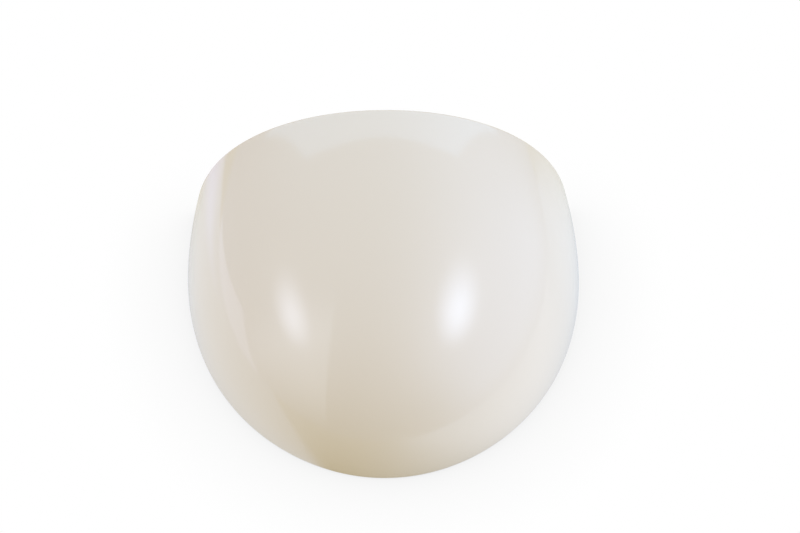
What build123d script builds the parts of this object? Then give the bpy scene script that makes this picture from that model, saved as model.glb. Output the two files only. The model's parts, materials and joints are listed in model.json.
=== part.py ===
"""Seat cowl: a moulded dome, open below and in front, with four threaded inserts. Sizes are in mm."""
import os

from build123d import *

# Outer form: the dome's own base lies below the rim by the skirt, which leaves its walls some draft
front_width = 247.0
length = 226.0
height = 93.0
rake = 15.0
skirt = 12.0

# Handles of the dome's curves, as ratios of its half width, height and length
across_ratios = (0, 0.54, 1, 1)
down_ratios = (1, 1, 0.64, 0)
plan_ratios = (1, 1.13, 0.50, 0)
back_ratios = (0, 0.69, 1, 1)
crown_ratios = (1, 0.89, 0.73, 0)

# Wall, front lip and eased edges
wall = 3.0
lip_depth = 7.0
lip_thickness = 3.0
corner_radius = 8.0
edge_chamfer = 1.0
lip_edge_chamfer = 0.6
root_chamfer = 1.5

# Bosses in two pairs, each pair set back from the front edge, and the ribs that tie them to the wall
boss_diameter = 14.0
front_pitch = 214.0
front_setback = 60.0
rear_pitch = 168.0
rear_setback = 150.0
rib_thickness = 2.4
rib_depth = 7.0
rib_foot = 6.0
bolt_room_diameter = 6.6
bolt_room_depth = 24.0

# Threaded inserts
insert_diameter = 8.6
insert_length = 12.0
thread_core_diameter = 5.0
insert_mouth = 0.5

# Nearest distance that counts as touching, when edges are picked by their place
near = 0.01

front_slope = rake / (height + skirt)
standing = (Align.CENTER, Align.CENTER, Align.MIN)


def half_dome(inset):
    """Right half of a solid dome that lies inside the outer form by the inset, down to its own base."""
    half_width = front_width / 2 - inset
    run = length - inset
    rise = height + skirt - inset
    net = []
    for a, d in zip(across_ratios, down_ratios):
        row = []
        for p, b, c in zip(plan_ratios, back_ratios, crown_ratios):
            y = -run * b - front_slope * rise * d * (1 - b)
            row.append((half_width * a * p, y, rise * d * c - skirt))
        net.append(row)
    skin = Face.make_bezier_surface(net)
    front_foot = (0, 0, -skirt)
    front_top, front_side, tail = net[0][0], net[3][0], net[0][3]
    arch = edge_between(skin, front_top, front_side)
    profile = edge_between(skin, front_top, tail)
    rim = edge_between(skin, front_side, tail)
    stem = Edge.make_line(front_foot, front_top)
    sill = Edge.make_line(front_foot, front_side)
    keel = Edge.make_line(front_foot, tail)
    loops = ((arch, stem, sill), (profile, stem, keel), (rim, sill, keel))
    return Solid(Shell([skin] + [Face(Wire(loop)) for loop in loops]))


def edge_between(face, first, last):
    """Edge of the face that runs between two points."""
    wanted = [Vector(first), Vector(last)]
    for edge in face.edges():
        ends = [edge.position_at(0), edge.position_at(1)]
        for order in (ends, ends[::-1]):
            if all((a - b).length < near for a, b in zip(wanted, order)):
                return edge
    raise ValueError("no edge runs between the points")


def front_plane_y(z, depth=0):
    """Place of the raked front plane at a height, or of a plane this far behind it."""
    return -depth - front_slope * (z + skirt)


def front_slab():
    """Slab along the raked front plane, as thick as the lip and a wall ahead of it."""
    low = -2 * skirt
    high = height + skirt
    outline = Polygon(
        (front_plane_y(low, -wall), low),
        (front_plane_y(high, -wall), high),
        (front_plane_y(high, lip_thickness), high),
        (front_plane_y(low, lip_thickness), low),
        align=None,
    )
    return extrude(Plane.YZ * outline, amount=front_width, both=True)


def side_profile():
    """Block with the cowl's side view, which trims it at the rim and rounds the front corners."""
    top = height + skirt
    behind = -length - skirt
    outline = Polygon((front_plane_y(0), 0), (front_plane_y(top), top), (behind, top), (behind, 0), align=None)
    corner = outline.vertices().sort_by(Axis.X)[-1]
    return extrude(Plane.YZ * fillet(corner, corner_radius), amount=front_width, both=True)


def arched_edges(solid, depth):
    """Curved edges that lie in the raked plane this far behind the front, shortest first."""
    chosen = []
    for edge in solid.edges():
        points = [edge.position_at(share) for share in (0, 0.5, 1)]
        off_plane = max(abs(p.Y - front_plane_y(p.Z, depth)) for p in points)
        if edge.geom_type != GeomType.LINE and points[1].X > wall and off_plane < near:
            chosen.append(edge)
    return sorted(chosen, key=lambda edge: edge.length)


def threaded_insert():
    """Insert that stands on the rim plane, with a bore at the core of its thread and a chamfered mouth."""
    core = thread_core_diameter / 2
    insert = Cylinder(insert_diameter / 2, insert_length, align=standing)
    insert -= Cylinder(core, insert_length, align=standing)
    return insert - Cone(core + insert_mouth, core, insert_mouth, align=standing)


# Right half of the outer form, with its edge eased all the way round
shell = (half_dome(0) & side_profile()).solids()[0]
shell = shell.chamfer(edge_chamfer, None, arched_edges(shell, 0))

# Hollow behind the front lip, with eased lip edges and an eased root
slab = front_slab()
shell -= half_dome(wall) - slab
shell -= half_dome(wall + lip_depth) & slab
shell = shell.solids()[0]
lip_edges = [arched_edges(shell, depth)[0] for depth in (0, lip_thickness)]
shell = shell.chamfer(lip_edge_chamfer, None, lip_edges)
shell = shell.chamfer(root_chamfer, None, arched_edges(shell, lip_thickness)[-1:])

# Bosses and ribs, which end inside the wall
places = [Pos(front_pitch / 2, -front_setback, 0), Pos(rear_pitch / 2, -rear_setback, 0)]
core = half_dome(wall / 2)
arch_band = core - half_dome(wall + rib_depth)
rib_plate = Box(2 * front_width, rib_thickness, height, align=standing)
web_plate = Box(front_width, rib_thickness, height, align=(Align.MIN, Align.CENTER, Align.MIN))
for place in places:
    at_foot = Pos(0, 0, rib_foot) * place
    shell += place * Cylinder(boss_diameter / 2, height, align=standing) & core
    shell += at_foot * rib_plate & arch_band
    shell += at_foot * web_plate & core

# Pockets for the inserts, with room for the end of the bolt
pocket = Cylinder(insert_diameter / 2, insert_length, align=standing)
pocket += Cylinder(bolt_room_diameter / 2, bolt_room_depth, align=standing)
for place in places:
    shell -= place * pocket

# Both halves, centred over the rim
shell += mirror(shell, Plane.YZ)
inserts = [place * threaded_insert() for place in places]
inserts += [mirror(insert, Plane.YZ) for insert in inserts]
centred = Pos(0, -shell.bounding_box().center().Y, 0)
cowl_shell = centred * shell
threaded_inserts = centred * Compound(children=inserts)

os.makedirs("parts", exist_ok=True)
export_step(cowl_shell, "parts/cowl_shell.step")
export_step(threaded_inserts, "parts/threaded_inserts.step")
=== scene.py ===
import json
import math

import bpy
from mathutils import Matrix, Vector

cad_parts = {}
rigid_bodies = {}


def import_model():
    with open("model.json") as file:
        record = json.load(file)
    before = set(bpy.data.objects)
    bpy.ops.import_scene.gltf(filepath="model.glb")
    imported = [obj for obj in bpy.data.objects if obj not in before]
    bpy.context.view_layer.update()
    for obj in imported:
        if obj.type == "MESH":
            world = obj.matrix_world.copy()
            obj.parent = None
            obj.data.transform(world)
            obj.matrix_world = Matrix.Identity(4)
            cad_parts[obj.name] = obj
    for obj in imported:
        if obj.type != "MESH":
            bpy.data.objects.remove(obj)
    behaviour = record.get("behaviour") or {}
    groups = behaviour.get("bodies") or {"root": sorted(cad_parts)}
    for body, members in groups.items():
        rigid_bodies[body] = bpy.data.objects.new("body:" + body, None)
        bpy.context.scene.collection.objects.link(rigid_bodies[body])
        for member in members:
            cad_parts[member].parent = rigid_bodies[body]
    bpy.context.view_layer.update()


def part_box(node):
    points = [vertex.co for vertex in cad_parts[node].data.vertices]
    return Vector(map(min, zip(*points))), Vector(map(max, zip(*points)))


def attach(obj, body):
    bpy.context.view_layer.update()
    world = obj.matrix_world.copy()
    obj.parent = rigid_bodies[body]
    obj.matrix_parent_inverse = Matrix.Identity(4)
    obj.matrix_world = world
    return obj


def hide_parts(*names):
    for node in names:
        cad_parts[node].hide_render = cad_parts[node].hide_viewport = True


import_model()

bl_info = {
    "name": "Seat cowl",
    "version": (1, 0, 0),
    "blender": (4, 5, 0),
    "location": "View3D > Sidebar > Seat cowl",
    "description": "Models a moulded seat cowl with brass inserts, and the studio around it",
    "category": "Object",
}

# Handles of the dome's curves, as shares of its half width, height and length
ACROSS = (0.0, 0.54, 1.0, 1.0)
DOWN = (1.0, 1.0, 0.64, 0.0)
PLAN = (1.0, 1.13, 0.50, 0.0)
BACK = (0.0, 0.69, 1.0, 1.0)
CROWN = (1.0, 0.89, 0.73, 0.0)

# Fineness of the meshes
COLUMNS = 96
ROWS = 96
ROUND_STEPS = 4
LIP_STEPS = 4
TURN_STEPS = 64

# Lengths in metres: a millimetre, how far a cutting body reaches past the faces it cuts, the size of the
# scraps that are merged after cuts, and how near the points of a seam and of one place lie
MILLIMETRE = 0.001
REACH = 0.003
SCRAP = 2e-6
SEAM = 1e-6
SAME = 1e-7

# Search for a place (u, v) on the dome: its starts at the front corner and at the lip's foot, the step
# that gives its slopes, its most tries and the miss that ends it; and the step that gives a normal
CORNER_START = (0.9, 0.02)
FOOT_START = (0.95, 0.01)
SEARCH_STEP = 1e-6
SEARCH_TRIES = 30
SEARCH_MISS = 1e-10
NORMAL_STEP = 1e-4

# Power by which the bend of the rounded corner fades over the dome, weight of the sharp corner in a
# quarter round, and width of a rib's blank as a share of the dome's
CORNER_FADE = 4
QUARTER_ROUND = math.sqrt(0.5)
RIB_BLANK = 1.1

# Sharpest turns, in degrees, that are still shaded smooth
SHELL_SMOOTH = 32
INSERT_SMOOTH = 30

# Width of the photograph that the camera matches, in pixels, and of its sensor, in mm
PHOTO_WIDTH = 800
SENSOR_WIDTH = 36.0

# Light of the room by direction: name, colour, strength, and planes that bound the zone, each with
# its axis and the distances along it where the light starts and is full
ROOM_ZONES = (
    ("room", "#FFF2D6", 0.55, ()),
    (
        "back_panel",
        "#A8D6FF",
        1.15,
        (
            ((0, 1, 0), 0.635, 0.645),
            ((0.70, 0.68, -0.22), -0.01, 0.01),
            ((-0.70, 0.68, -0.22), -0.01, 0.01),
            ((0, 0, 1), 0.28, 0.36),
        ),
    ),
    (
        "left_card",
        "#D4DCFF",
        0.95,
        (((0, 0.53, -0.85), -0.07, -0.05), ((0, -0.53, -0.85), -0.35, -0.33), ((-1, 0, 0), 0.5, 0.6)),
    ),
    (
        "left_wall",
        "#DCEBFF",
        1.0,
        (((-0.92, 0.38, -0.11), 0.265, 0.28), ((0, -1, 0), -0.3, 0.1), ((0, 0, 1), -0.3, 0.6)),
    ),
    ("left_glow", "#9AB1FF", 0.25, (((-1, 0, 0), 0.0, 1.0), ((0, 1, 0), -0.9, 0.1))),
    (
        "right_glow",
        "#BDD4FF",
        1.4,
        (
            ((1, 0, 0), -0.1, 0.9),
            ((0, 1, 0), -1.0, -0.3),
            ((0, -1, 0), -0.9, -0.5),
            ((0, 0, 1), -0.25, 0.3),
        ),
    ),
)

# Light that the floor gives off itself by place, in place of what a lit table would reflect, in the same
# way
FLOOR_ZONES = (
    ("ground", "#FFEDB0", 0.62, ()),
    ("table_far", "#7FB0FF", 0.35, (((0, -1, 0), 0.4, 0.9),)),
    # Brighter glow of the floor under the cowl, which lights its inside
    (
        "table_inside",
        "#E0ECFF",
        1.4,
        (
            ((1, 0, 0), -0.12, -0.08),
            ((-1, 0, 0), -0.12, -0.08),
            ((0.7, 0.71, 0), -0.1, -0.06),
            ((-0.7, 0.71, 0), -0.1, -0.06),
            ((0, 1, 0), -0.1, -0.05),
            ((0, -1, 0), -0.11, -0.06),
        ),
    ),
    (
        "table_left",
        "#B0CCFF",
        0.8,
        (
            ((-0.27, 0.96, 0), -0.095, -0.085),
            ((-0.59, -0.81, 0), -0.11, -0.09),
            ((-1, 0, 0), -0.05, 0.05),
            ((-0.75, -0.66, 0), -0.06, 0.08),
        ),
    ),
    (
        "table_front_left",
        "#9CA4FF",
        0.5,
        (((0, 1, 0), 0.125, 0.2), ((-1, 0, 0), 0.1, 0.14), ((0.65, -0.76, 0), -0.6, -0.25)),
    ),
    (
        "table_back_right",
        "#F4F4FF",
        0.26,
        (((1, 0, 0), 0.02, 0.09), ((0.5, -0.87, 0), 0.06, 0.14)),
    ),
    (
        "table_right",
        "#A6C8FF",
        0.82,
        (((0.8, 0.6, 0), -0.35, -0.05), ((1, 0, 0), -0.05, 0.1), ((0.7, -0.71, 0), -0.1, 0.07)),
    ),
)

# Floor: its size, its gap to the rim, and the reach of its painted soft shadow, drawn from ambient
# occlusion rather than cast by the lamps, with the share of light that it takes away, first as the camera
# sees it and then in the light that the floor gives back
FLOOR_SIZE = 8.0
FLOOR_GAP = 0.0005
SHADOW_SEEN = (0.06, 0.25)
SHADOW_LIT = (0.15, 0.7)

# Softboxes: name, azimuth and elevation in degrees, width and height in metres, colour, and power in watts
SOFTBOX_DISTANCE = 1.2
SOFTBOXES = (
    ("softbox_left", -95, 45.5, 0.8, 0.52, "#DBE5FF", 5.2),
    ("softbox_right", 96, 56.5, 0.88, 0.6, "#D2E2FF", 9.0),
)


def size(name, description, millimetres):
    """Make a length property from millimetres."""
    return bpy.props.FloatProperty(
        name=name,
        description=description,
        default=millimetres * MILLIMETRE,
        unit="LENGTH",
        precision=4,
    )


def angle(name, description, degrees):
    """Make an angle property from degrees."""
    return bpy.props.FloatProperty(
        name=name,
        description=description,
        default=math.radians(degrees),
        subtype="ANGLE",
    )


def linear_colour(text):
    """Turn an sRGB hex colour into linear red, green and blue."""
    shares = [int(text[i:i + 2], 16) / 255 for i in (1, 3, 5)]
    return tuple(c / 12.92 if c <= 0.04045 else ((c + 0.055) / 1.055) ** 2.4 for c in shares)


def colour(name, description, text):
    """Make a colour property from an sRGB hex colour."""
    return bpy.props.FloatVectorProperty(
        name=name,
        description=description,
        default=linear_colour(text),
        subtype="COLOR",
        min=0.0,
        max=1.0,
    )


class CowlSizes(bpy.types.PropertyGroup):
    """Sizes of the cowl and its inserts."""
    front_width: size("Front width", "Width of the dome at its front plane", 247)
    length: size("Length", "Length of the dome from its front plane to its tail", 226)
    height: size("Height", "Height of the crown above the rim", 93)
    rake: size("Rake", "How far the front plane leans back over its height", 15)
    skirt: size("Skirt", "How far the dome's form goes on below the rim", 12)
    wall: size("Wall", "Thickness of the moulded wall", 3)
    lip_depth: size("Lip depth", "How far the front lip reaches in from the wall", 7)
    lip_thickness: size("Lip thickness", "Thickness of the front lip", 3)
    corner_radius: size("Corner radius", "Radius of the lower front corners in side view", 8)
    edge_radius: size("Edge radius", "Rounding of the outer edge", 1.2)
    lip_edge_radius: size("Lip edge radius", "Rounding of the lip's free edge", 0.8)
    root_radius: size("Root radius", "Rounding where the lip meets the wall", 1.5)
    boss_diameter: size("Boss diameter", "Diameter of the posts inside", 14)
    boss_edge: size("Boss edge", "Rounding of the posts' feet", 0.6)
    front_pitch: size("Front pitch", "Distance between the front inserts", 214)
    front_setback: size("Front setback", "Front inserts behind the front plane", 60)
    rear_pitch: size("Rear pitch", "Distance between the rear inserts", 168)
    rear_setback: size("Rear setback", "Rear inserts behind the front plane", 150)
    rib_thickness: size("Rib thickness", "Thickness of the arched ribs inside", 2.4)
    rib_depth: size("Rib depth", "How far the ribs stand in from the wall", 7)
    rib_foot: size("Rib foot", "Height of the ribs' ends above the rim", 6)
    room_diameter: size("Bolt room diameter", "Hole above each insert", 6.6)
    room_depth: size("Bolt room depth", "Depth of the hole from the rim", 24)
    insert_diameter: size("Insert diameter", "Outer diameter of the brass inserts", 8.6)
    insert_length: size("Insert length", "Length of the brass inserts", 12)
    thread_core: size("Thread core", "Diameter of the thread at its crests", 5)
    thread_pitch: size("Thread pitch", "Distance from one thread crest to the next", 1)
    insert_mouth: size("Insert mouth", "Chamfer at the ends of the inserts", 0.5)


class CowlFinish(bpy.types.PropertyGroup):
    """Colours of the cowl."""
    lacquer: colour("Lacquer", "Cream gloss lacquer outside", "#E5DBCA")
    plastic: colour("Plastic", "Bare cream moulding inside", "#DDD0B9")
    brass: colour("Brass", "Machined brass of the inserts", "#C9A659")


class StageSettings(bpy.types.PropertyGroup):
    """Camera and floor."""
    distance: size("Camera distance", "Distance from the camera to its target", 908)
    elevation: angle("Elevation", "Height angle of the camera", 45)
    azimuth: angle("Azimuth", "Turn of the camera round the cowl from straight behind its tail", -1.5)
    roll: angle("Roll", "Turn of the camera about its own view", 0.36)
    target_x: size("Target across", "Point the camera looks at, across", 10.5)
    target_y: size("Target along", "Point the camera looks at, along", 55.4)
    focal: bpy.props.FloatProperty(
        name="Focal length in pixels",
        description="Focal length, in pixels of the photograph",
        default=1422.0,
        subtype="PIXEL",
    )
    floor: colour("Floor", "Plain floor as the camera sees it", "#FFFFFF")


def bezier(handles, t):
    """Value of a cubic curve at t."""
    s = 1 - t
    shares = (s ** 3, 3 * s * s * t, 3 * s * t * t, t ** 3)
    return sum(share * handle for share, handle in zip(shares, handles))


def front_start(sizes):
    """Place along Y of the dome's front, from the front inserts of the frame."""
    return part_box("threaded_inserts")[1][1] - sizes.insert_diameter / 2 + sizes.front_setback


class Dome:
    """Smooth double-curved form that lies inside the outer skin by an inset."""

    def __init__(self, sizes, inset):
        self.half = sizes.front_width / 2 - inset
        self.run = sizes.length - inset
        self.rise = sizes.height + sizes.skirt - inset
        self.slope = sizes.rake / (sizes.height + sizes.skirt)
        self.skirt = sizes.skirt
        self.start = front_start(sizes)

    def point(self, u, v):
        """Point at u across from the crown and v back from the front."""
        down = bezier(DOWN, u)
        back = bezier(BACK, v)
        x = self.half * bezier(ACROSS, u) * bezier(PLAN, v)
        y = self.start - self.run * back - self.slope * self.rise * down * (1 - back)
        z = self.rise * down * bezier(CROWN, v) - self.skirt
        return Vector((x, y, z))

    def normal(self, u, v):
        """Outward direction of the skin."""
        across = self.point(u + NORMAL_STEP, v) - self.point(u - NORMAL_STEP, v)
        back = self.point(u, v + NORMAL_STEP) - self.point(u, v - NORMAL_STEP)
        return back.cross(across).normalized()

    def find(self, misses, guess):
        """Place (u, v) where both misses are zero."""
        u, v = guess
        step = SEARCH_STEP
        for _ in range(SEARCH_TRIES):
            a, b = misses(u, v, self.point(u, v))
            if abs(a) + abs(b) < SEARCH_MISS:
                break
            a_u, b_u = misses(u + step, v, self.point(u + step, v))
            a_v, b_v = misses(u, v + step, self.point(u, v + step))
            rates = ((a_u - a) / step, (a_v - a) / step, (b_u - b) / step, (b_v - b) / step)
            spread = rates[0] * rates[3] - rates[1] * rates[2]
            u -= (a * rates[3] - b * rates[1]) / spread
            v -= (b * rates[0] - a * rates[2]) / spread
        return u, v


class Trim:
    """Leaning front plane, level floor and rounded corner that trim a dome."""

    def __init__(self, sizes, depth, floor, corner):
        self.slope = sizes.rake / (sizes.height + sizes.skirt)
        self.lean = math.atan(self.slope)
        self.base = front_start(sizes) - depth / math.cos(self.lean) - self.slope * sizes.skirt
        self.floor = floor
        self.corner = corner

    def gap(self, point):
        """Distance of a point behind the front plane."""
        return (self.base - self.slope * point.z - point.y) * math.cos(self.lean)

    def facing(self, t):
        """Outward direction of the trimmed face, from the front at 0 to the floor at 1."""
        angle = self.lean - t * (self.lean + math.pi / 2)
        return Vector((0, math.cos(angle), math.sin(angle)))

    def corner_point(self, t, inside):
        """Point of the corner's arc in side view."""
        z = self.floor + self.corner
        y = self.base - self.slope * z - self.corner / math.cos(self.lean)
        return Vector((0, y, z)) + self.facing(t) * (self.corner - inside)


def lerp(a, b, t):
    """Blend two places (u, v)."""
    return a[0] + (b[0] - a[0]) * t, a[1] + (b[1] - a[1]) * t


def trimmed_edge(dome, trim, inside):
    """Places (u, v) along the front arch, the rim and the corner between them."""
    corner = []
    place = CORNER_START
    for j in range(ROWS + 1):
        goal = trim.corner_point(j / ROWS, inside)
        place = dome.find(lambda u, v, p: (p.y - goal.y, p.z - goal.z), place)
        corner.append(place)
    front = []
    for i in range(COLUMNS + 1):
        across = corner[0][0] * i / COLUMNS
        front.append(dome.find(lambda u, v, p: (u - across, trim.gap(p) - inside), (across, corner[0][1])))
    rim = []
    centre = dome.point(*corner[-1]).y
    place = corner[-1]
    for i in range(COLUMNS, -1, -1):
        turn = math.pi / 2 * i / COLUMNS
        place = dome.find(
            lambda u, v, p: (
                p.x * math.cos(turn) + (p.y - centre) * math.sin(turn),
                p.z - trim.floor - inside,
            ),
            place,
        )
        rim.insert(0, place)
    return front, rim, corner


def only_active(obj):
    """Select one object and make it active."""
    bpy.ops.object.select_all(action="DESELECT")
    obj.select_set(True)
    bpy.context.view_layer.objects.active = obj


def in_edit(obj, mode):
    """Open an object for editing in a vertex, edge or face mode."""
    only_active(obj)
    bpy.ops.object.mode_set(mode="EDIT")
    bpy.ops.mesh.select_mode(type=mode)


def end_edit():
    """Close the object that is being edited."""
    bpy.ops.object.mode_set(mode="OBJECT")


def pick(obj, part, wanted):
    """Select the given vertices, edges or faces of an object and nothing else."""
    for items in (obj.data.vertices, obj.data.edges, obj.data.polygons):
        items.foreach_set("select", [False] * len(items))
    for item in getattr(obj.data, part):
        item.select = wanted(item)


def extrude_chain(obj, chain):
    """Extrude a chain of edges in place, and give the new vertex of each old one."""
    old = set(chain)
    pick(obj, "edges", lambda edge: edge.vertices[0] in old and edge.vertices[1] in old)
    in_edit(obj, "EDGE")
    bpy.ops.mesh.extrude_edges_move()
    end_edit()
    grown = {}
    for edge in obj.data.edges:
        a, b = edge.vertices
        if (a in old) != (b in old):
            here, there = (a, b) if a in old else (b, a)
            if there > max(old):
                grown[here] = there
    return grown


def new_grid(name, columns, rows, place):
    """Make a grid and put each of its vertices, by column and row, in its place."""
    bpy.ops.object.select_all(action="DESELECT")
    bpy.ops.mesh.primitive_grid_add(x_subdivisions=columns, y_subdivisions=rows, size=2)
    obj = bpy.context.object
    obj.name = name
    index = {}
    for vertex in obj.data.vertices:
        i = round((vertex.co.x + 1) / 2 * columns)
        j = round((vertex.co.y + 1) / 2 * rows)
        index[i, j] = vertex.index
        vertex.co = place(i, j)
    chain = [index[i, 0] for i in range(columns)]
    chain += [index[columns, j] for j in range(rows)]
    chain += [index[i, rows] for i in range(columns, -1, -1)]
    return obj, index, chain


def close_and_mirror(obj, chain):
    """Close a half body to the middle plane and mirror it."""
    grown = extrude_chain(obj, chain)
    for vertex in grown.values():
        obj.data.vertices[vertex].co.x = 0
    only_active(obj)
    mirror = obj.modifiers.new("Mirror", "MIRROR")
    mirror.use_axis = (True, False, False)
    mirror.merge_threshold = SEAM
    bpy.ops.object.modifier_apply(modifier=mirror.name)
    in_edit(obj, "VERT")
    bpy.ops.mesh.select_all(action="SELECT")
    bpy.ops.mesh.remove_doubles(threshold=SAME)
    bpy.ops.mesh.normals_make_consistent(inside=False)
    end_edit()


def dome_body(name, sizes, inset, trim, inside):
    """Make a closed dome with its trimmed edge rounded by the distance inside."""
    dome = Dome(sizes, inset)
    front, rim, corner = trimmed_edge(dome, trim, inside)

    def place(i, j):
        fade = (i / COLUMNS) ** CORNER_FADE
        plain = lerp(front[i], rim[i], j / ROWS)
        end = lerp(front[-1], rim[-1], j / ROWS)
        return tuple(p + fade * (c - e) for p, c, e in zip(plain, corner[j], end))

    obj, index, chain = new_grid(name, COLUMNS, ROWS, lambda i, j: dome.point(*place(i, j)))

    # Start, sharp corner and end of the rounding at each vertex of the edge
    arcs = {}
    where = {vertex: spot for spot, vertex in index.items()}
    for vertex in chain:
        i, j = where[vertex]
        point = obj.data.vertices[vertex].co.copy()
        normal = dome.normal(*place(i, j))
        facing = trim.facing(j / ROWS if i == COLUMNS else round(j / ROWS))
        along = (facing - normal * facing.dot(normal)).normalized()
        sharp = point + along * (inside / along.dot(facing))
        inward = (normal - facing * normal.dot(facing)).normalized()
        arcs[vertex] = (point, sharp, sharp - inward * (sharp - point).length)

    # Rings of the rounding
    rings = {vertex: vertex for vertex in chain}
    for step in range(1, ROUND_STEPS + 1):
        grown = extrude_chain(obj, list(rings.values()))
        rings = {vertex: grown[last] for vertex, last in rings.items()}
        t = step / ROUND_STEPS
        shares = ((1 - t) ** 2, 2 * QUARTER_ROUND * t * (1 - t), t ** 2)
        for vertex, last in rings.items():
            total = sum((arc * share for arc, share in zip(arcs[vertex], shares)), Vector())
            obj.data.vertices[last].co = total / sum(shares)
    close_and_mirror(obj, list(rings.values()))
    return obj


def lip_opening(sizes):
    """Make the body that opens the front inside the lip, flared for its rounded edges."""
    trim = Trim(sizes, 0, 0, sizes.corner_radius)
    inner = sizes.wall + sizes.lip_depth
    radius = sizes.lip_edge_radius
    rows = []
    for step in range(LIP_STEPS + 1):
        angle = math.pi / 2 * (1 - step / LIP_STEPS)
        rows.append((radius * (1 - math.sin(angle)), inner - radius * (1 - math.cos(angle))))
    rows += [(sizes.lip_thickness - depth, inset) for depth, inset in reversed(rows)]

    # A short flare past each rounding keeps the cut's end faces off the lip
    flare = (radius / 4, inner - 2 * radius)
    rows = [(-flare[0], flare[1])] + rows + [(sizes.lip_thickness + flare[0], flare[1])]
    points = []
    for depth, inset in rows:
        dome = Dome(sizes, inset)
        foot = dome.find(lambda u, v, p: (trim.gap(p) - depth, p.z + REACH), FOOT_START)
        row = []
        for i in range(COLUMNS + 1):
            across = foot[0] * i / COLUMNS
            spot = dome.find(lambda u, v, p: (u - across, trim.gap(p) - depth), (across, foot[1]))
            row.append(dome.point(*spot))
        points.append(row)
    obj, _, chain = new_grid("lip_opening", COLUMNS, len(rows) - 1, lambda i, j: points[j][i])
    close_and_mirror(obj, chain)
    return obj


def combine(obj, tool, operation):
    """Add, cut or keep the common part of two bodies; the second one is used up."""
    change = obj.modifiers.new("Combine", "BOOLEAN")
    change.operation = operation
    change.solver = "EXACT"
    change.object = tool
    only_active(obj)
    bpy.ops.object.modifier_apply(modifier=change.name)
    bpy.data.objects.remove(tool)


def new_cylinder(name, diameter, bottom, top, x, y):
    """Make an upright cylinder with its place in its mesh."""
    bpy.ops.object.select_all(action="DESELECT")
    bpy.ops.mesh.primitive_cylinder_add(
        vertices=TURN_STEPS,
        radius=diameter / 2,
        depth=top - bottom,
        location=(x, y, (top + bottom) / 2),
    )
    obj = bpy.context.object
    obj.name = name
    bpy.ops.object.transform_apply(location=True, rotation=True, scale=True)
    return obj


def round_foot(obj, radius):
    """Round the edge round the foot of an upright body."""
    foot = min(vertex.co.z for vertex in obj.data.vertices)
    low = {vertex.index for vertex in obj.data.vertices if vertex.co.z < foot + SCRAP}
    pick(obj, "edges", lambda edge: edge.vertices[0] in low and edge.vertices[1] in low)
    in_edit(obj, "EDGE")
    bpy.ops.mesh.bevel(offset=radius, segments=ROUND_STEPS)
    end_edit()


def inner_frame(sizes, pitch, setback):
    """Make one arched rib with a post at each end, shaped to the wall."""
    y = front_start(sizes) - setback
    top = sizes.height
    bpy.ops.object.select_all(action="DESELECT")
    bpy.ops.mesh.primitive_cube_add(size=1, location=(0, y, (top + sizes.rib_foot) / 2))
    rib = bpy.context.object
    rib.name = "rib"
    rib.scale = (sizes.front_width * RIB_BLANK, sizes.rib_thickness, top - sizes.rib_foot)
    bpy.ops.object.transform_apply(location=True, rotation=True, scale=True)
    below = Trim(sizes, 0, -2 * REACH, sizes.corner_radius)
    under = dome_body("rib_room", sizes, sizes.wall + sizes.rib_depth, below, sizes.edge_radius)
    combine(rib, under, "DIFFERENCE")
    for side in (-1, 1):
        post = new_cylinder("post", sizes.boss_diameter, 0, top, side * pitch / 2, y)
        round_foot(post, sizes.boss_edge)
        combine(rib, post, "UNION")
    combine(rib, dome_body("core", sizes, sizes.wall / 2, below, sizes.edge_radius), "INTERSECT")
    for side in (-1, 1):
        seat = new_cylinder("seat", sizes.insert_diameter, -REACH, sizes.insert_length, side * pitch / 2, y)
        combine(rib, seat, "DIFFERENCE")
        room = new_cylinder("room", sizes.room_diameter, -REACH, sizes.room_depth, side * pitch / 2, y)
        combine(rib, room, "DIFFERENCE")
    return rib


def finish_mesh(obj, sharpest):
    """Merge the scraps that cuts leave, and shade the mesh so that flat faces look flat."""
    in_edit(obj, "VERT")
    bpy.ops.mesh.select_all(action="SELECT")
    bpy.ops.mesh.remove_doubles(threshold=SCRAP)
    bpy.ops.mesh.dissolve_degenerate(threshold=SCRAP)
    end_edit()
    bpy.ops.object.shade_smooth_by_angle(angle=sharpest)
    even = obj.modifiers.new("Even shading", "WEIGHTED_NORMAL")
    even.keep_sharp = True
    bpy.ops.object.modifier_apply(modifier=even.name)


def set_faces(obj, slot):
    """Give all faces of an object one material slot."""
    for face in obj.data.polygons:
        face.material_index = slot


def give_materials(obj, *materials):
    """Give an object its material slots."""
    for material in materials:
        obj.data.materials.append(material)


def add_node(tree, kind, inputs=None, **settings):
    """Add a node, set its options, and set or link its sockets by name or number."""
    node = tree.nodes.new(kind)
    for name, value in settings.items():
        setattr(node, name, value)
    for name, value in (inputs or {}).items():
        if isinstance(value, bpy.types.NodeSocket):
            tree.links.new(value, node.inputs[name])
        else:
            node.inputs[name].default_value = value
    return node


def new_material(name):
    """Make a material with only its surface node, and give the place on the object too."""
    material = bpy.data.materials.new(name)
    material.use_nodes = True
    tree = material.node_tree
    tree.nodes.clear()
    surface = add_node(tree, "ShaderNodeBsdfPrincipled")
    add_node(tree, "ShaderNodeOutputMaterial", {"Surface": surface.outputs["BSDF"]})
    place = add_node(tree, "ShaderNodeTexCoord").outputs["Object"]
    return material, tree, surface, place


def drifting_tint(tree, surface, place, tint, spread, cloud):
    """Let the base colour drift a little over the surface, in clouds of the given size in mm."""
    scale = 1 / (cloud * MILLIMETRE)
    drift = add_node(tree, "ShaderNodeTexNoise", {"Vector": place, "Scale": scale, "Detail": 3.0})
    shades = [tuple(c * share for c in tint) + (1.0,) for share in (1 - spread, 1 + spread)]
    mix = add_node(
        tree, "ShaderNodeMix", {0: drift.outputs["Fac"], 6: shades[0], 7: shades[1]}, data_type="RGBA"
    )
    tree.links.new(mix.outputs[2], surface.inputs["Base Color"])


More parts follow.
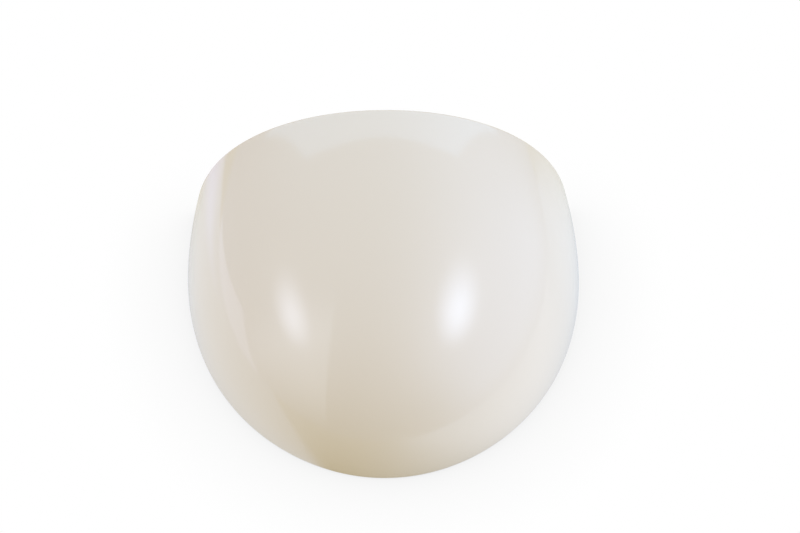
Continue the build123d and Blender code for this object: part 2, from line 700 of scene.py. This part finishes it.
def fine_relief(tree, surface, place, grain, depth, strength, socket):
    """Give the surface a fine relief, with the size and depth of its grain in mm."""
    scale = 1 / (grain * MILLIMETRE)
    noise = add_node(tree, "ShaderNodeTexNoise", {"Vector": place, "Scale": scale, "Detail": 2.0})
    bump = add_node(
        tree,
        "ShaderNodeBump",
        {"Strength": strength, "Distance": depth * MILLIMETRE, "Height": noise.outputs["Fac"]},
    )
    tree.links.new(bump.outputs["Normal"], surface.inputs[socket])


def lacquer_material(finish):
    """Cream gloss lacquer, sprayed over the moulding and polished."""
    material, tree, surface, place = new_material("sprayed_cream_lacquer")

    # Soft drift of the tint, and the faint ripple of a sprayed coat
    drifting_tint(tree, surface, place, finish.lacquer, spread=0.012, cloud=55)
    fine_relief(tree, surface, place, grain=4, depth=0.2, strength=0.04, socket="Coat Normal")
    surface.inputs["Roughness"].default_value = 0.35
    surface.inputs["Coat Weight"].default_value = 1.0
    surface.inputs["Coat Roughness"].default_value = 0.03
    return material


def plastic_material(finish):
    """Cream moulded ABS, bare inside, with the satin skin of the mould."""
    material, tree, surface, place = new_material("moulded_cream_abs")

    # Flow clouds of the moulding, and the spark grain of the mould, coarser than it is so that it shows
    drifting_tint(tree, surface, place, finish.plastic, spread=0.035, cloud=40)
    fine_relief(tree, surface, place, grain=0.55, depth=0.1, strength=0.35, socket="Normal")
    surface.inputs["Roughness"].default_value = 0.48
    return material


def brass_material(finish):
    """Machined brass, turned and left bare."""
    material, tree, surface, place = new_material("machined_brass")

    # Uneven tarnish, and fine tool marks, coarser than they are so that they show
    drifting_tint(tree, surface, place, finish.brass, spread=0.12, cloud=2.5)
    fine_relief(tree, surface, place, grain=0.4, depth=0.05, strength=0.3, socket="Normal")
    surface.inputs["Metallic"].default_value = 1.0
    surface.inputs["Roughness"].default_value = 0.3
    return material


def insert_section(sizes):
    """Closed section of an insert with the turns of its thread, as radius and height."""
    outer = sizes.insert_diameter / 2
    crest = sizes.thread_core / 2
    root = crest + sizes.thread_pitch / 2
    mouth = root + sizes.insert_mouth
    top = sizes.insert_length
    section = [(outer, 0.0), (outer, top), (mouth, top)]
    turns = round(top / sizes.thread_pitch)
    for turn in range(2 * turns - 1):
        height = top - (turn + 1) * sizes.thread_pitch / 2
        section.append((root if turn % 2 == 1 else crest, height))
    section.append((mouth, 0.0))
    return section


def insert_places(sizes):
    """Feet of the four inserts."""
    start = front_start(sizes)
    rows = [(sizes.front_pitch, sizes.front_setback), (sizes.rear_pitch, sizes.rear_setback)]
    return [(side * pitch / 2, start - setback, 0) for pitch, setback in rows for side in (-1, 1)]


class SEATCOWL_OT_shell(bpy.types.Operator):
    """Model the moulded shell with its lip, ribs and posts"""
    bl_idname = "seatcowl.shell"
    bl_label = "Cowl shell"

    def execute(self, context):
        sizes = context.scene.cowl_sizes
        finish = context.scene.cowl_finish
        materials = (lacquer_material(finish), plastic_material(finish))
        below = -2 * REACH
        outer = Trim(sizes, 0, 0, sizes.corner_radius)
        inner = Trim(sizes, sizes.lip_thickness, below, sizes.root_radius * 2)
        shell = dome_body("shell", sizes, 0, outer, sizes.edge_radius)
        hollow = dome_body("hollow", sizes, sizes.wall, inner, sizes.root_radius)
        opening = lip_opening(sizes)
        frames = [
            inner_frame(sizes, sizes.front_pitch, sizes.front_setback),
            inner_frame(sizes, sizes.rear_pitch, sizes.rear_setback),
        ]
        for obj, slot in [(shell, 0), (hollow, 1), (opening, 0), (frames[0], 1), (frames[1], 1)]:
            obj.data.materials.clear()
            give_materials(obj, *materials)
            set_faces(obj, slot)
        combine(shell, hollow, "DIFFERENCE")
        combine(shell, opening, "DIFFERENCE")
        for rib in frames:
            combine(shell, rib, "UNION")
        finish_mesh(shell, math.radians(SHELL_SMOOTH))
        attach(shell, "root")
        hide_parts("cowl_shell")
        return {"FINISHED"}


class SEATCOWL_OT_inserts(bpy.types.Operator):
    """Turn the four threaded brass inserts"""
    bl_idname = "seatcowl.inserts"
    bl_label = "Threaded inserts"

    def execute(self, context):
        sizes = context.scene.cowl_sizes

        # One insert, turned from its section
        section = insert_section(sizes)
        bpy.ops.object.select_all(action="DESELECT")
        bpy.ops.mesh.primitive_circle_add(vertices=len(section), radius=1)
        piece = bpy.context.object
        piece.name = "brass_inserts"
        for vertex, (radius, height) in zip(piece.data.vertices, section):
            vertex.co = (radius, 0, height)
        in_edit(piece, "VERT")
        bpy.ops.mesh.select_all(action="SELECT")
        bpy.ops.mesh.spin(steps=TURN_STEPS, angle=2 * math.pi, center=(0, 0, 0), axis=(0, 0, 1))
        bpy.ops.mesh.select_all(action="SELECT")
        bpy.ops.mesh.remove_doubles(threshold=SEAM)
        bpy.ops.mesh.normals_make_consistent(inside=False)
        end_edit()

        # Copies at the other posts, joined to one piece
        places = insert_places(sizes)
        for place in places[1:]:
            only_active(piece)
            bpy.ops.object.duplicate_move(TRANSFORM_OT_translate={"value": place})
        piece.location = places[0]
        for obj in list(bpy.data.objects):
            obj.select_set(obj.name.startswith("brass_inserts"))
        bpy.context.view_layer.objects.active = piece
        bpy.ops.object.join()
        bpy.ops.object.transform_apply(location=True, rotation=True, scale=True)
        bpy.ops.object.shade_smooth_by_angle(angle=math.radians(INSERT_SMOOTH))
        give_materials(piece, brass_material(context.scene.cowl_finish))
        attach(piece, "root")
        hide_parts("threaded_inserts")
        return {"FINISHED"}


def aim(obj, place, target):
    """Put a camera or light somewhere and point it at a target."""
    obj.location = place
    obj.rotation_euler = (Vector(target) - Vector(place)).to_track_quat("-Z", "Y").to_euler()


def direction(azimuth, elevation):
    """Direction from the cowl; the azimuth is counted from the tail's side towards +X."""
    level = math.cos(elevation)
    return Vector((math.sin(azimuth) * level, -math.cos(azimuth) * level, math.sin(elevation)))


def add_softbox(name, azimuth, elevation, width, height, tint, power):
    """Hang a softbox that is brightest in its middle and fades to its edges."""
    bpy.ops.object.light_add(type="AREA")
    lamp = bpy.context.object
    lamp.name = name
    lamp.data.shape = "RECTANGLE"
    lamp.data.size = width
    lamp.data.size_y = height
    lamp.data.energy = power
    lamp.data.color = linear_colour(tint)
    way = direction(math.radians(azimuth), math.radians(elevation))
    aim(lamp, way * SOFTBOX_DISTANCE, (0, 0, 0))
    lamp.data.use_nodes = True
    tree = lamp.data.node_tree
    tree.nodes.clear()
    spot = add_node(tree, "ShaderNodeNewGeometry").outputs["Parametric"]
    flat = add_node(tree, "ShaderNodeVectorMath", {0: spot, 1: (1, 1, 0)}, operation="MULTIPLY")
    off = add_node(
        tree, "ShaderNodeVectorMath", {0: flat.outputs[0], 1: (0.5, 0.5, 0)}, operation="DISTANCE"
    )
    fade = add_node(
        tree,
        "ShaderNodeMapRange",
        {"Value": off.outputs["Value"], "From Max": 0.5, "To Min": 1.0, "To Max": 0.0},
        interpolation_type="SMOOTHSTEP",
    )
    glow = add_node(tree, "ShaderNodeEmission", {"Strength": fade.outputs["Result"]})
    add_node(tree, "ShaderNodeOutputLight", {"Surface": glow.outputs["Emission"]})


def zone_light(tree, vector, zones):
    """Add up the light of zones that are bounded by soft-edged planes."""
    total = (0, 0, 0)
    for name, tint, strength, planes in zones:
        light = tuple(c * strength for c in linear_colour(tint))
        glow = add_node(
            tree, "ShaderNodeVectorMath", {0: light, "Scale": 1.0}, operation="SCALE", name=name
        )
        for axis, start, full in planes:
            reach = add_node(tree, "ShaderNodeVectorMath", {0: vector, 1: axis}, operation="DOT_PRODUCT")
            share = add_node(
                tree,
                "ShaderNodeMapRange",
                {"Value": reach.outputs["Value"], "From Min": start, "From Max": full},
                interpolation_type="SMOOTHSTEP",
            )
            glow = add_node(
                tree,
                "ShaderNodeVectorMath",
                {0: glow.outputs[0], "Scale": share.outputs["Result"]},
                operation="SCALE",
            )
        glow = add_node(tree, "ShaderNodeVectorMath", {0: total, 1: glow.outputs[0]}, operation="ADD")
        total = glow.outputs[0]
    return total


def shaded(tree, light, reach, depth):
    """Light of a floor with a painted shadow: ambient occlusion darkens it by the given share where the
    cowl stands close over it.
    """
    near = add_node(tree, "ShaderNodeAmbientOcclusion", {"Distance": reach})
    share = add_node(tree, "ShaderNodeMapRange", {"Value": near.outputs["AO"], "To Min": 1 - depth})
    dimmed = add_node(
        tree, "ShaderNodeVectorMath", {0: light, "Scale": share.outputs["Result"]}, operation="SCALE"
    )
    return dimmed.outputs[0]


def seen_or_zones(tree, plain, zones):
    """One light for the camera, and the light of the zones for everything else."""
    seen = add_node(tree, "ShaderNodeLightPath").outputs["Is Camera Ray"]
    mix = add_node(tree, "ShaderNodeMix", {0: seen, 4: zones, 5: plain}, data_type="VECTOR")
    return mix.outputs[1]


def floor_material(tint):
    """Floor sheet that gives off the light of its zones itself, in place of a lit matt table, and so lights
    the cowl; the camera sees it plain white with its painted soft shadow, or not at all from below.
    """
    material = bpy.data.materials.new("matt_white_floor")
    material.use_nodes = True
    tree = material.node_tree
    tree.nodes.clear()
    place = add_node(tree, "ShaderNodeTexCoord").outputs["Object"]
    zones = zone_light(tree, place, FLOOR_ZONES)
    light = seen_or_zones(tree, shaded(tree, tint, *SHADOW_SEEN), shaded(tree, zones, *SHADOW_LIT))
    glow = add_node(tree, "ShaderNodeEmission", {"Color": light})
    clear = add_node(tree, "ShaderNodeBsdfTransparent")
    below = add_node(tree, "ShaderNodeNewGeometry").outputs["Backfacing"]
    sheet = add_node(
        tree,
        "ShaderNodeMixShader",
        {0: below, 1: glow.outputs["Emission"], 2: clear.outputs["BSDF"]},
    )
    add_node(tree, "ShaderNodeOutputMaterial", {"Surface": sheet.outputs["Shader"]})
    return material


def add_floor(tint):
    """Lay the floor just under the rim."""
    bpy.ops.object.select_all(action="DESELECT")
    bpy.ops.mesh.primitive_plane_add(size=FLOOR_SIZE, location=(0, 0, -FLOOR_GAP))
    floor = bpy.context.object
    floor.name = "floor"
    bpy.ops.object.transform_apply(location=True, rotation=True, scale=True)
    give_materials(floor, floor_material(tint))


def add_room(scene, tint):
    """Put a room round the table, which lights the cowl by its zones; the camera sees it plain."""
    world = bpy.data.worlds.new("studio_room")
    scene.world = world
    world.use_nodes = True
    tree = world.node_tree
    tree.nodes.clear()
    way = add_node(tree, "ShaderNodeTexCoord").outputs["Generated"]
    light = seen_or_zones(tree, tint, zone_light(tree, way, ROOM_ZONES))
    room = add_node(tree, "ShaderNodeBackground", {"Color": light})
    add_node(tree, "ShaderNodeOutputWorld", {"Surface": room.outputs["Background"]})


def add_camera(scene, stage):
    """Set the camera at the photograph's angle."""
    bpy.ops.object.camera_add()
    camera = bpy.context.object
    camera.name = "camera"
    target = Vector((stage.target_x, stage.target_y, 0))
    aim(camera, target + direction(stage.azimuth, stage.elevation) * stage.distance, target)
    camera.rotation_euler.rotate_axis("Z", stage.roll)
    camera.data.sensor_fit = "HORIZONTAL"
    camera.data.sensor_width = SENSOR_WIDTH
    camera.data.lens = stage.focal * SENSOR_WIDTH / PHOTO_WIDTH
    scene.camera = camera


class SEATCOWL_OT_stage(bpy.types.Operator):
    """Set the floor, the lights and the camera"""
    bl_idname = "seatcowl.stage"
    bl_label = "Studio"

    def execute(self, context):
        scene = context.scene
        stage = scene.cowl_stage
        add_floor(stage.floor)
        add_room(scene, stage.floor)
        for softbox in SOFTBOXES:
            add_softbox(*softbox)
        add_camera(scene, stage)
        scene.view_settings.view_transform = "Standard"
        return {"FINISHED"}


class SEATCOWL_PT_panel(bpy.types.Panel):
    """Buttons for the cowl's pieces"""
    bl_label = "Seat cowl"
    bl_idname = "SEATCOWL_PT_panel"
    bl_space_type = "VIEW_3D"
    bl_region_type = "UI"
    bl_category = "Seat cowl"

    def draw(self, context):
        for operator in OPERATORS:
            self.layout.operator(operator.bl_idname)


GROUPS = {"cowl_sizes": CowlSizes, "cowl_finish": CowlFinish, "cowl_stage": StageSettings}
OPERATORS = (SEATCOWL_OT_shell, SEATCOWL_OT_inserts, SEATCOWL_OT_stage)
CLASSES = tuple(GROUPS.values()) + OPERATORS + (SEATCOWL_PT_panel,)


def register():
    """Add the classes and their settings."""
    for item in CLASSES:
        bpy.utils.register_class(item)
    for name, group in GROUPS.items():
        setattr(bpy.types.Scene, name, bpy.props.PointerProperty(type=group))


def unregister():
    """Take the classes and their settings away again."""
    for name in GROUPS:
        delattr(bpy.types.Scene, name)
    for item in reversed(CLASSES):
        bpy.utils.unregister_class(item)


def main():
    """Build the pieces and the studio."""
    register()
    bpy.ops.seatcowl.shell()
    bpy.ops.seatcowl.inserts()
    bpy.ops.seatcowl.stage()


if __name__ == "__main__":
    main()
